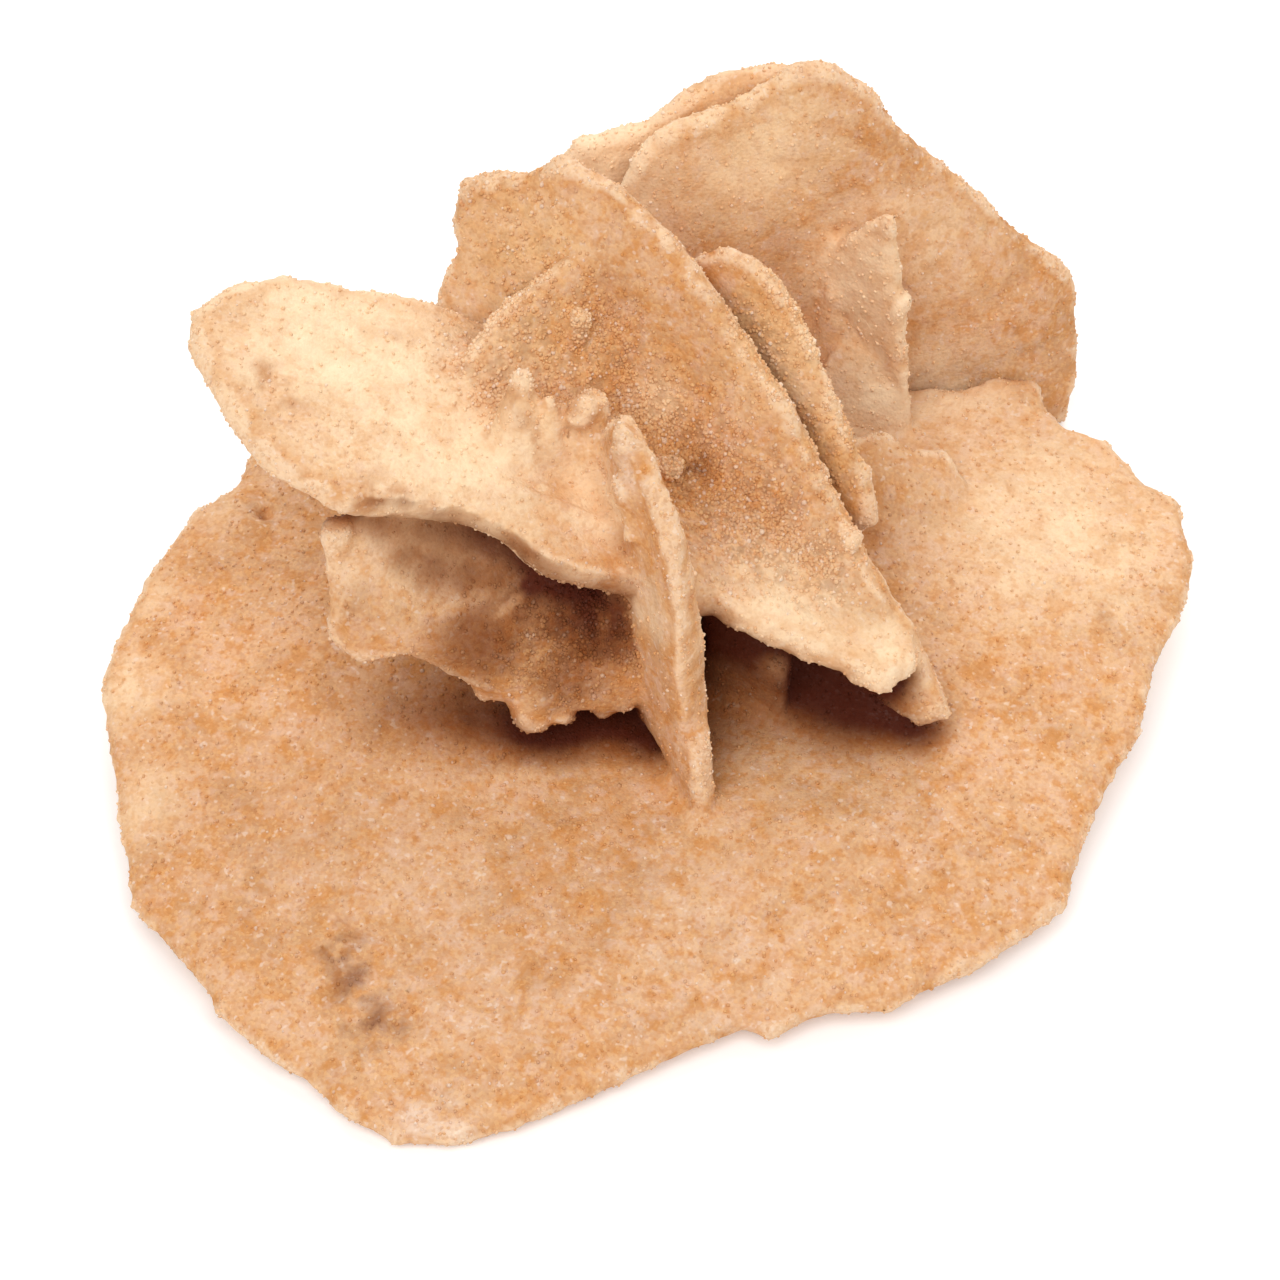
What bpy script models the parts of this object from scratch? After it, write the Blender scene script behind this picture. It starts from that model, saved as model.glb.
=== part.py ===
"""A gypsum sand rose: lens-shaped crystal blades grown through one another over one broad base plate.

The blades are laid out in millimetres about the foot of the front fin (X to the right, Y to the
back, Z up) and joined into one solid, which is then set down so that its lowest flats lie at Z = 0
and its bounding box is centred on the Z axis. Each blade starts as a round lens of latitude rings
and spokes, pushed out to its own polygonal outline.
"""

from dataclasses import dataclass
from math import asin, atan2, ceil, cos, hypot, pi, radians, sin

import bmesh
import bpy
from mathutils import Matrix, Vector, noise

MM = 0.001
SOLID_NAME = "sand_rose"
GYPSUM_COLOUR = (0.78, 0.47, 0.27, 1.0)
GYPSUM_ROUGHNESS = 0.9

# The level the rose is set down to, in the layout's millimetres.
RESTING_LEVEL = -4.15
GROUND_SIZE = 160.0

# Lens rings from the rim inward: (share of the reach, share of the way from rim to full thickness).
PLATE_RINGS = ((0.98, 0.0), (0.88, 0.4), (0.6, 0.85))
BROAD_RINGS = ((0.97, 0.0), (0.82, 0.5), (0.5, 0.9))
PLAIN_RINGS = ((0.95, 0.0), (0.66, 0.72))

RAG_LENGTH = 1.6
RAG_SHARE_OF_RIM = 0.22
ROUGH_LENGTH = 4.5
ROUGH_SHARE_OF_RIPPLE = 0.3
LUMP_UNEVENNESS = 0.3


@dataclass(frozen=True)
class Blade:
    """One lens-shaped crystal.

    Attributes:
        centre: Middle of the blade in millimetres.
        facing: Heading of the face's normal in plan, in degrees from +X towards +Y.
        rise: Angle of that normal above level, in degrees.
        corners: Outline as (bearing, reach in millimetres) seen from the side the normal points to,
            with bearing 0 level along the blade and 90 up its slope.
        thickness: Thickness in the middle, in millimetres.
        rim: Thickness at the rim, in millimetres.
        side: Longest straight step along the outline, in millimetres.
        rings: Lens rings from the rim inward.
        ripple: Height of the slow waves on the faces, in millimetres.
        ripple_length: Length of those waves, in millimetres.
    """

    centre: tuple[float, float, float]
    facing: float
    rise: float
    corners: tuple[tuple[float, float], ...]
    thickness: float = 2.0
    rim: float = 1.1
    side: float = 2.6
    rings: tuple[tuple[float, float], ...] = PLAIN_RINGS
    ripple: float = 0.25
    ripple_length: float = 8.0

    def outline(self) -> list[tuple[float, float]]:
        """Returns the rim's points in the blade's plane, with long straight sides divided."""
        turned = [
            (reach * cos(radians(bearing)), reach * sin(radians(bearing)))
            for bearing, reach in self.corners
        ]
        points = []
        for here, there in zip(turned, turned[1:] + turned[:1]):
            parts = ceil(hypot(there[0] - here[0], there[1] - here[1]) / self.side)
            for part in range(parts):
                share = part / parts
                points.append(
                    (
                        here[0] + (there[0] - here[0]) * share,
                        here[1] + (there[1] - here[1]) * share,
                    )
                )
        return points

    def placement(self) -> Matrix:
        """Returns the matrix from the blade's plane to the rose's layout."""
        heading = radians(self.facing)
        lift = radians(self.rise)
        normal = Vector((cos(lift) * cos(heading), cos(lift) * sin(heading), sin(lift)))
        along = Vector((-sin(heading), cos(heading), 0.0))
        up_slope = normal.cross(along)
        turn = Matrix((along, up_slope, normal)).transposed().to_4x4()
        return Matrix.Translation(self.centre) @ turn

    def build(self, name: str, collection: bpy.types.Collection) -> bpy.types.Object:
        """Makes the blade's mesh from a sphere of spokes and rings.

        Args:
            name: Name of the blade.
            collection: Collection that takes the blade.

        Returns:
            The blade's object.
        """
        points = self.outline()
        ring_count = len(self.rings)
        levels = 2 * (ring_count + 1)
        phase = Vector(self.centre)
        shape = bmesh.new()
        bmesh.ops.create_uvsphere(shape, u_segments=len(points), v_segments=levels, radius=1.0)
        place = self.placement()
        for vert in shape.verts:
            level = round(asin(max(-1.0, min(1.0, vert.co.z))) / pi * levels)
            spoke = round(atan2(vert.co.y, vert.co.x) / (2.0 * pi) * len(points)) % len(points)
            inward = abs(level)
            if inward == 0:
                share, fullness = 1.0, 0.0
            elif inward <= ring_count:
                share, fullness = self.rings[inward - 1]
            else:
                share, fullness = 0.0, 1.0
            half = 0.5 * (self.rim + (self.thickness - self.rim) * fullness)
            spot = Vector((points[spoke][0] * share, points[spoke][1] * share, 0.0))
            rag = noise.noise((spot + phase) / RAG_LENGTH) * self.rim * RAG_SHARE_OF_RIM
            wave = noise.noise((spot + phase) / self.ripple_length) * self.ripple
            side = (level > 0) - (level < 0)
            rough = noise.noise((spot + phase * (2 + side)) / ROUGH_LENGTH)
            vert.co = Vector(
                (
                    spot.x * (1.0 + rag / max(spot.length, 1.0)),
                    spot.y * (1.0 + rag / max(spot.length, 1.0)),
                    side * (half + rough * self.ripple * ROUGH_SHARE_OF_RIPPLE) + wave,
                )
            )
        return finish_mesh(shape, place, name, collection)


@dataclass(frozen=True)
class Lump:
    """One rounded crystal lump: an icosphere stretched along three directions.

    Attributes:
        centre: Middle of the lump in millimetres.
        size: Half sizes along X, Y and Z before it is turned, in millimetres.
        lean: Turn about X and then about Z, in degrees.
    """

    centre: tuple[float, float, float]
    size: tuple[float, float, float]
    lean: tuple[float, float] = (0.0, 0.0)

    def build(self, name: str, collection: bpy.types.Collection) -> bpy.types.Object:
        """Makes the lump's mesh with a slightly uneven surface.

        Args:
            name: Name of the lump.
            collection: Collection that takes the lump.

        Returns:
            The lump's object.
        """
        shape = bmesh.new()
        bmesh.ops.create_icosphere(shape, subdivisions=1, radius=1.0)
        phase = Vector(self.centre)
        for vert in shape.verts:
            vert.co *= 1.0 + LUMP_UNEVENNESS * noise.noise(vert.co * 1.3 + phase)
        turn = Matrix.Rotation(radians(self.lean[1]), 4, "Z") @ Matrix.Rotation(
            radians(self.lean[0]), 4, "X"
        )
        place = Matrix.Translation(self.centre) @ turn @ Matrix.Diagonal((*self.size, 1.0))
        return finish_mesh(shape, place, name, collection)


BLADES = {
    # The broad disc everything stands on, tipped up a little at the back.
    "base_plate": Blade(
        centre=(-2.8, 7.0, -0.9),
        facing=-90,
        rise=84,
        thickness=3.8,
        rim=1.2,
        side=3.4,
        rings=PLATE_RINGS,
        ripple=0.5,
        ripple_length=14.0,
        corners=(
            (8, 27.0), (15, 29.5), (20, 31.0), (27, 32.0), (31, 31.0), (37, 31.0), (41, 30.0),
            (44, 30.0), (47, 31.0), (50, 30.0), (52, 28.0), (58, 26.0), (72, 25.5), (90, 25.0),
            (108, 26.0), (120, 27.5), (132, 28.5), (141, 28.0), (146, 27.0), (150, 28.0),
            (161, 28.5), (175, 29.0), (203, 29.0), (216, 28.0), (219, 28.5), (238, 28.5),
            (243, 28.5), (249, 27.5), (255, 25.5), (284, 19.5), (287, 20.5), (297, 20.0),
            (304, 21.5), (318, 22.5), (331, 24.0), (350, 24.0), (358, 25.5),
        ),
    ),
    # The broad sloping shelf that crosses the rose from high on the left to low on the right.
    "shelf": Blade(
        centre=(-8.3, 9.9, 13.4),
        facing=-20,
        rise=68,
        thickness=2.4,
        rim=1.3,
        rings=BROAD_RINGS,
        corners=(
            (52, 12.0), (76, 17.5), (84, 19.0), (92, 20.0), (98, 19.5), (116, 15.5), (133, 11.5),
            (148, 6.0), (200, 5.0), (246, 6.5), (258, 10.0), (260, 13.0), (267, 20.5), (275, 21.5),
            (282, 21.0), (290, 17.5), (300, 12.0), (5, 8.5), (35, 10.0),
        ),
    ),
    # The blade hanging under the shelf on the left, with a rounded left end and a torn lower edge.
    "left_keel": Blade(
        centre=(-11.3, 5.8, 9.3),
        facing=-80,
        rise=20,
        thickness=2.2,
        rim=1.3,
        side=2.2,
        corners=(
            (20, 9.5), (60, 7.0), (132, 9.0), (153, 8.5), (182, 8.0), (194, 7.0), (201, 4.5),
            (292, 7.5), (300, 8.0), (303, 7.5), (316, 10.0), (330, 11.0), (350, 10.0),
        ),
    ),
    # The narrow fin at the front, edge on to the front and standing on the plate.
    "front_fin": Blade(
        centre=(-2.8, 6.1, 8.2),
        facing=-152.3,
        rise=2.2,
        thickness=2.0,
        rim=1.2,
        side=2.2,
        corners=(
            (114, 11.5), (109, 12.0), (100, 11.0), (85, 9.0), (73, 8.0), (44, 5.5), (311, 10.5),
            (305, 11.0), (287, 7.5), (262, 7.0), (235, 9.0), (205, 9.5), (175, 9.5), (140, 9.5),
            (122, 10.0),
        ),
    ),
    # The large leaning blade in the middle, running from back left to front right.
    "central_blade": Blade(
        centre=(-0.4, 15.3, 12.9),
        facing=-115.5,
        rise=21.7,
        thickness=2.4,
        rim=1.4,
        rings=BROAD_RINGS,
        corners=(
            (34, 5.5), (338, 11.0), (330, 17.0), (326, 20.0), (321, 19.5), (306, 11.0),
            (292, 10.5), (274, 13.5), (255, 13.5), (225, 12.5), (195, 14.5), (172, 15.5),
            (159, 15.5), (156, 16.5), (149, 17.5), (145, 17.0), (138, 15.5), (129, 15.5),
            (120, 13.5), (107, 10.0),
        ),
    ),
    # The lower wall in front of the central blade's left half; the two make a steep trough.
    "trough_wall": Blade(
        centre=(-8.6, 16.2, 16.1),
        facing=-67.5,
        rise=35.5,
        thickness=1.8,
        rim=1.0,
        side=2.2,
        corners=(
            (54, 7.0), (100, 4.0), (124, 3.5), (156, 4.0), (179, 4.5), (215, 4.5), (270, 5.5),
            (320, 6.0), (38, 5.5),
        ),
    ),
    # The narrow sister of the central blade, a few millimetres behind it.
    "sister_blade": Blade(
        centre=(4.6, 16.2, 12.5),
        facing=-115.5,
        rise=19,
        thickness=1.8,
        rim=1.1,
        side=2.2,
        corners=(
            (123, 10.0), (111, 8.5), (99, 6.5), (338, 5.0), (322, 7.0), (313, 7.0), (300, 7.0),
            (280, 10.5), (255, 12.5), (225, 12.0), (180, 9.5), (140, 10.0),
        ),
    ),
    # The big blade at the back, which reaches down past the plate's back edge.
    "back_blade": Blade(
        centre=(8.2, 31.0, 8.7),
        facing=-74,
        rise=10,
        thickness=2.6,
        rim=1.3,
        side=3.0,
        rings=BROAD_RINGS,
        corners=(
            (346, 12.5), (340, 13.5), (321, 16.0), (313, 17.5), (300, 15.5), (270, 13.5),
            (240, 14.0), (210, 14.0), (180, 14.0), (155, 15.0), (141, 15.5), (133, 15.5),
            (118, 13.5), (102, 14.0), (95, 13.5), (87, 12.0), (75, 9.5),
        ),
    ),
    # The blade behind it, offset to the left.
    "rear_blade": Blade(
        centre=(0.1, 32.2, 11.0),
        facing=-76,
        rise=9,
        thickness=2.2,
        rim=1.2,
        side=3.0,
        corners=(
            (63, 10.5), (85, 9.5), (96, 8.5), (111, 7.5), (136, 9.5), (142, 9.5), (165, 9.0),
            (190, 9.5), (225, 11.5), (260, 12.5), (290, 12.5), (325, 12.5), (0, 12.0), (35, 11.5),
        ),
    ),
    # A small fin crossing the front of the back blade.
    "side_fin": Blade(
        centre=(9.2, 27.6, 8.4),
        facing=-128,
        rise=6,
        thickness=1.5,
        rim=0.8,
        side=2.0,
        ripple=0.12,
        corners=(
            (94, 7.0), (86, 7.5), (60, 3.0), (50, 3.5), (20, 2.0), (303, 5.0), (285, 8.5),
            (250, 8.5), (190, 5.0), (140, 4.5),
        ),
    ),
    # A low round-topped blade at the foot of the side fin.
    "foot_blade": Blade(
        centre=(8.8, 26.2, 3.9),
        facing=-95,
        rise=20,
        thickness=1.5,
        rim=0.9,
        side=2.0,
        ripple=0.12,
        corners=(
            (60, 3.0), (90, 3.5), (120, 3.5), (145, 3.0), (180, 3.0), (230, 3.5), (280, 4.0),
            (320, 3.5), (10, 2.5),
        ),
    ),
    # A low thick blade lying almost flat on the plate, right of the sister blade.
    "low_blade": Blade(
        centre=(10.4, 19.8, 2.4),
        facing=-58,
        rise=58,
        thickness=1.7,
        rim=1.0,
        side=2.0,
        ripple=0.15,
        corners=(
            (75, 4.0), (110, 4.5), (140, 3.5), (180, 3.0), (230, 3.0), (280, 3.0), (320, 3.5),
            (350, 4.0), (20, 4.0), (50, 3.0),
        ),
    ),
    # A small blade in the hollow under the shelf, right of the front fin.
    "hollow_blade": Blade(
        centre=(2.4, 7.8, 4.2),
        facing=-112,
        rise=8,
        thickness=1.5,
        rim=0.9,
        side=2.0,
        ripple=0.15,
        corners=(
            (80, 5.0), (130, 5.0), (180, 2.5), (235, 4.5), (270, 5.0), (300, 4.5), (335, 2.5),
            (30, 2.5),
        ),
    ),
    # A thin ledge left by a growth step just below the plate's face.
    "plate_ledge": Blade(
        centre=(-2.5, 6.9, -2.1),
        facing=-88,
        rise=84,
        thickness=2.2,
        rim=0.8,
        side=4.0,
        corners=(
            (10, 24.5), (28, 28.0), (45, 26.0), (90, 21.0), (140, 24.0), (180, 25.5), (206, 27.0),
            (217, 27.0), (230, 25.5), (252, 23.0), (264, 20.5), (278, 18.5), (290, 18.5),
            (300, 19.5), (312, 20.0), (336, 20.5), (350, 21.5),
        ),
    ),
    # Blades on the far side and beneath the plate.
    "left_root": Blade(
        centre=(-14.0, 23.0, -2.1),
        facing=-50,
        rise=8,
        thickness=2.2,
        rim=1.2,
        corners=((10, 7.0), (130, 2.0), (175, 7.0), (215, 5.0), (270, 3.0), (325, 5.0)),
    ),
    "right_root": Blade(
        centre=(12.0, 3.0, -2.8),
        facing=-115,
        rise=10,
        thickness=2.2,
        rim=1.2,
        corners=((5, 7.0), (50, 1.5), (130, 1.5), (178, 7.5), (215, 5.0), (325, 4.5)),
    ),
    "back_root": Blade(
        centre=(3.0, 24.0, -1.9),
        facing=-170,
        rise=6,
        thickness=2.4,
        rim=1.3,
        corners=((0, 8.0), (50, 2.0), (130, 2.0), (180, 7.5), (220, 5.0), (270, 3.5), (320, 5.0)),
    ),
    "rear_fin": Blade(
        centre=(7.0, 34.0, 6.5),
        facing=150,
        rise=6,
        thickness=1.9,
        rim=1.0,
        corners=(
            (0, 6.0), (30, 6.5), (62, 7.5), (95, 7.0), (130, 6.0), (180, 5.5), (235, 6.5),
            (275, 8.5), (320, 7.0),
        ),
    ),
    "far_blade": Blade(
        centre=(-8.5, 29.5, 4.0),
        facing=118,
        rise=28,
        thickness=2.1,
        rim=1.2,
        corners=(
            (0, 7.5), (35, 7.0), (65, 6.5), (95, 7.5), (125, 6.5), (160, 7.5), (195, 7.0),
            (235, 6.5), (270, 6.0), (310, 7.0),
        ),
    ),
}

LUMPS = {
    "ridge_lump": Lump(centre=(-9.7, 13.9, 15.5), size=(1.0, 0.9, 2.5), lean=(12, 25)),
    "ridge_side": Lump(centre=(-8.7, 13.7, 15.1), size=(0.9, 1.0, 1.7), lean=(25, -10)),
    "trough_lump": Lump(centre=(-6.7, 14.1, 14.6), size=(1.5, 1.0, 1.9), lean=(20, 15)),
    "valley_lump": Lump(centre=(-5.2, 14.2, 13.7), size=(1.2, 0.9, 1.1), lean=(10, 35)),
    "pale_nodule": Lump(centre=(-6.5, 17.3, 17.8), size=(0.6, 0.6, 0.7)),
    "flank_lump": Lump(centre=(-1.9, 14.0, 11.7), size=(1.0, 0.8, 0.7), lean=(0, -25)),
    "fin_spike": Lump(centre=(-4.1, 8.6, 18.0), size=(0.7, 0.9, 2.3), lean=(10, 20)),
    "fin_shoulder": Lump(centre=(-3.9, 7.4, 16.1), size=(1.1, 1.1, 2.0), lean=(8, 12)),
}


def finish_mesh(
    shape: bmesh.types.BMesh, place: Matrix, name: str, collection: bpy.types.Collection
) -> bpy.types.Object:
    """Triangulates a shape, puts it in place in metres and makes it a guide for the union.

    Args:
        shape: The shape, in millimetres before placing.
        place: Its placement in the layout.
        name: Name of the object.
        collection: Collection that takes it.

    Returns:
        The new object.
    """
    bmesh.ops.triangulate(shape, faces=shape.faces)
    bmesh.ops.transform(shape, matrix=Matrix.Scale(MM, 4) @ place, verts=shape.verts)
    mesh = bpy.data.meshes.new(name)
    shape.to_mesh(mesh)
    shape.free()
    guide = bpy.data.objects.new(name, mesh)
    guide.hide_render = True
    guide.display_type = "WIRE"
    collection.objects.link(guide)
    return guide


def gypsum() -> bpy.types.Material:
    """Returns the sandy gypsum material."""
    material = bpy.data.materials.new("sandy_gypsum")
    material.use_nodes = True
    shader = material.node_tree.nodes["Principled BSDF"]
    shader.inputs["Base Color"].default_value = GYPSUM_COLOUR
    shader.inputs["Roughness"].default_value = GYPSUM_ROUGHNESS
    return material


def ground_block(collection: bpy.types.Collection) -> bpy.types.Object:
    """Returns a block whose top is the resting level, used to cut the resting flats."""
    shape = bmesh.new()
    bmesh.ops.create_cube(shape, size=GROUND_SIZE)
    middle = Matrix.Translation((0.0, 0.0, RESTING_LEVEL - 0.5 * GROUND_SIZE))
    return finish_mesh(shape, middle, "ground_block", collection)


def grow_together(scene: bpy.types.Scene) -> bpy.types.Object:
    """Joins all blades and lumps into one solid and cuts its resting flats.

    Args:
        scene: The scene that takes the solid.

    Returns:
        The solid, with its modifiers applied.
    """
    specimen = bpy.data.collections.new("sand_rose_specimen")
    crystals = bpy.data.collections.new("crystals")
    cutters = bpy.data.collections.new("cutters")
    for collection in (specimen, crystals, cutters):
        scene.collection.children.link(collection)
    for name, crystal in (BLADES | LUMPS).items():
        crystal.build(name, crystals)
    block = ground_block(cutters)

    plate = crystals.objects["base_plate"]
    crystals.objects.unlink(plate)
    rose = bpy.data.objects.new(SOLID_NAME, plate.data)
    specimen.objects.link(rose)
    grown = rose.modifiers.new("grown_together", "BOOLEAN")
    grown.operation = "UNION"
    grown.solver = "EXACT"
    grown.operand_type = "COLLECTION"
    grown.collection = crystals
    flats = rose.modifiers.new("resting_flats", "BOOLEAN")
    flats.operation = "DIFFERENCE"
    flats.solver = "EXACT"
    flats.object = block

    graph = bpy.context.evaluated_depsgraph_get()
    solid = bpy.data.meshes.new_from_object(rose.evaluated_get(graph))
    rose.modifiers.clear()
    rose.data = solid
    return rose


def set_down(rose: bpy.types.Object) -> None:
    """Moves the solid so that its box stands on Z = 0, centred on the Z axis."""
    points = [vert.co for vert in rose.data.vertices]
    low = Vector(min(point[axis] for point in points) for axis in range(3))
    high = Vector(max(point[axis] for point in points) for axis in range(3))
    middle = (low + high) / 2.0
    rose.data.transform(Matrix.Translation((-middle.x, -middle.y, -low.z)))


def main() -> None:
    """Builds the sand rose."""
    for leftover in list(bpy.data.objects):
        bpy.data.objects.remove(leftover, do_unlink=True)
    rose = grow_together(bpy.context.scene)
    set_down(rose)
    rose.data.name = SOLID_NAME
    rose.data.materials.clear()
    rose.data.materials.append(gypsum())


main()
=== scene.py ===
"""Looks of a gypsum sand rose: blades with a sandy skin, the grains lying on them, and a studio.

Lengths are in millimetres unless a name or a docstring says metres. The blades' shape comes from
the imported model; here it gets its fused valleys, crumbling rims, pits, knobs and grains of sand.
"""

import logging
from dataclasses import dataclass, field
from enum import Enum
from itertools import product
from math import radians
from typing import ClassVar

import bmesh
import bpy
import numpy as np
from mathutils import Matrix, Vector, noise
from mathutils.bvhtree import BVHTree


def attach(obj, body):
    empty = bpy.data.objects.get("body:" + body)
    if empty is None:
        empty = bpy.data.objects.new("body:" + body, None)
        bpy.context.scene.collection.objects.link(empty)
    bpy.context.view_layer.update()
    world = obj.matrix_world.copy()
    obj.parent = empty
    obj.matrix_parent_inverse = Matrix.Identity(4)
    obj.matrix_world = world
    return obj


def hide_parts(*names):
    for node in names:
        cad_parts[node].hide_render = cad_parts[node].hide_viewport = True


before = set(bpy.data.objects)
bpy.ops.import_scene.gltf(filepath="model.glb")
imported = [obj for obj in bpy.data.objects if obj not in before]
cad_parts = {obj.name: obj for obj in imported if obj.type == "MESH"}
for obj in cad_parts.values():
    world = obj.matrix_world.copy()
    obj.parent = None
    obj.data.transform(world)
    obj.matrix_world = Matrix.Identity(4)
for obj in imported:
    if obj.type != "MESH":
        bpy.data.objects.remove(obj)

log = logging.getLogger("sand_rose")

Colour = tuple[float, float, float]
Spot = tuple[float, float, float]
Pair = tuple[float, float]

MM = 0.001
TINY = 1e-12
WHITE: Colour = (1.0, 1.0, 1.0)
NODE = "sand_rose"
BODY = "root"
# The numbers that the blades' mesh holds at each point, and that the grains take over from it.
MEASURES = ("rim", "band", "hollow", "painted_shade", "stain", "rust", "chalk", "pale", "warm", "grit")


# --------------------------------------------------------------------------------------
# Blender's data
# --------------------------------------------------------------------------------------


def placed(name: str, data: bpy.types.ID) -> bpy.types.Object:
    """Puts a mesh, a light or a camera in the scene.

    Args:
        name: Name of the object.
        data: What the object shows.

    Returns:
        The object.
    """
    made = bpy.data.objects.new(name, data)
    bpy.context.scene.collection.objects.link(made)
    return made


def meshed(name: str, shape: bmesh.types.BMesh) -> bpy.types.Mesh:
    """Turns a shape into a mesh and frees it.

    Args:
        name: Name of the mesh.
        shape: The shape.

    Returns:
        The mesh.
    """
    mesh = bpy.data.meshes.new(name)
    shape.to_mesh(mesh)
    shape.free()
    return mesh


def evaluated(guide: bpy.types.Object) -> bpy.types.Mesh:
    """Returns a new mesh of an object as its modifiers leave it."""
    depsgraph = bpy.context.evaluated_depsgraph_get()
    return bpy.data.meshes.new_from_object(guide.evaluated_get(depsgraph))


def hold(mesh: bpy.types.Mesh, name: str, values: np.ndarray) -> None:
    """Gives a mesh one number a point, which its material reads by name."""
    layer = mesh.attributes.new(name, "FLOAT", "POINT")
    layer.data.foreach_set("value", values.astype(np.float32))


# --------------------------------------------------------------------------------------
# Shader maths
# --------------------------------------------------------------------------------------


class Value:
    """A shader value that Python's operators work on; each one adds a Math node."""

    def __init__(self, tree: bpy.types.NodeTree, socket: bpy.types.NodeSocket) -> None:
        """Wraps a socket.

        Args:
            tree: The node tree that the socket is in.
            socket: The output that holds the value.
        """
        self.tree = tree
        self.socket = socket

    def _math(self, operation: str, *operands: "Value | float") -> "Value":
        """Adds a Math node.

        Args:
            operation: The node's operation.
            operands: Its operands in order.

        Returns:
            The node's result.
        """
        node = self.tree.nodes.new("ShaderNodeMath")
        node.operation = operation
        for slot, operand in zip(node.inputs, operands):
            if isinstance(operand, Value):
                self.tree.links.new(operand.socket, slot)
            else:
                slot.default_value = operand
        return Value(self.tree, node.outputs[0])

    def __add__(self, other: "Value | float") -> "Value":
        """Adds."""
        return self._math("ADD", self, other)

    def __radd__(self, other: float) -> "Value":
        """Adds to a number."""
        return self._math("ADD", other, self)

    def __sub__(self, other: "Value | float") -> "Value":
        """Subtracts."""
        return self._math("SUBTRACT", self, other)

    def __rsub__(self, other: float) -> "Value":
        """Subtracts from a number."""
        return self._math("SUBTRACT", other, self)

    def __mul__(self, other: "Value | float") -> "Value":
        """Multiplies."""
        return self._math("MULTIPLY", self, other)

    def __rmul__(self, other: float) -> "Value":
        """Multiplies a number."""
        return self._math("MULTIPLY", other, self)

    def ramp(self, low: "Value | float", high: "Value | float") -> "Value":
        """Rises smoothly from 0 to 1.

        Args:
            low: Where it is 0.
            high: Where it is 1; with low over high it falls instead.

        Returns:
            The value on the slope.
        """
        share = self._math("DIVIDE", self - low, high - low)
        share = share._math("MINIMUM", share._math("MAXIMUM", share, 0.0), 1.0)
        return share * share * (3.0 - 2.0 * share)


class Pattern(Enum):
    """Textures that the finishes are made of."""

    CLOUD = "ShaderNodeTexNoise"
    CELLS = "ShaderNodeTexVoronoi"


class Shading:
    """A node tree under construction."""

    def __init__(self, tree: bpy.types.NodeTree) -> None:
        """Starts on a tree.

        Args:
            tree: The tree that the nodes go in.
        """
        self.tree = tree

    def node(
        self, kind: str, settings: dict | None = None, values: dict | None = None
    ) -> bpy.types.Node:
        """Adds a node.

        Args:
            kind: The node's type.
            settings: Its own settings, which are set first.
            values: Numbers, colours or links for its inputs, by name or number.

        Returns:
            The node.
        """
        node = self.tree.nodes.new(kind)
        for name, setting in (settings or {}).items():
            setattr(node, name, setting)
        for key, value in (values or {}).items():
            self.feed(node.inputs[key], value)
        return node

    def feed(self, socket: bpy.types.NodeSocket, value: object) -> None:
        """Links an output to an input, or sets the input's own number or colour.

        Args:
            socket: The input.
            value: A Value, an output socket, a number or a colour.
        """
        if isinstance(value, Value):
            value = value.socket
        if isinstance(value, bpy.types.NodeSocket):
            self.tree.links.new(value, socket)
        elif isinstance(value, tuple) and socket.type == "RGBA":
            socket.default_value = (*value, 1.0)
        else:
            socket.default_value = value

    def part(self, colour: bpy.types.NodeSocket, channel: int) -> Value:
        """Returns one channel of a colour as a value."""
        node = self.node("ShaderNodeSeparateColor", {}, {0: colour})
        return Value(self.tree, node.outputs[channel])


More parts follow.
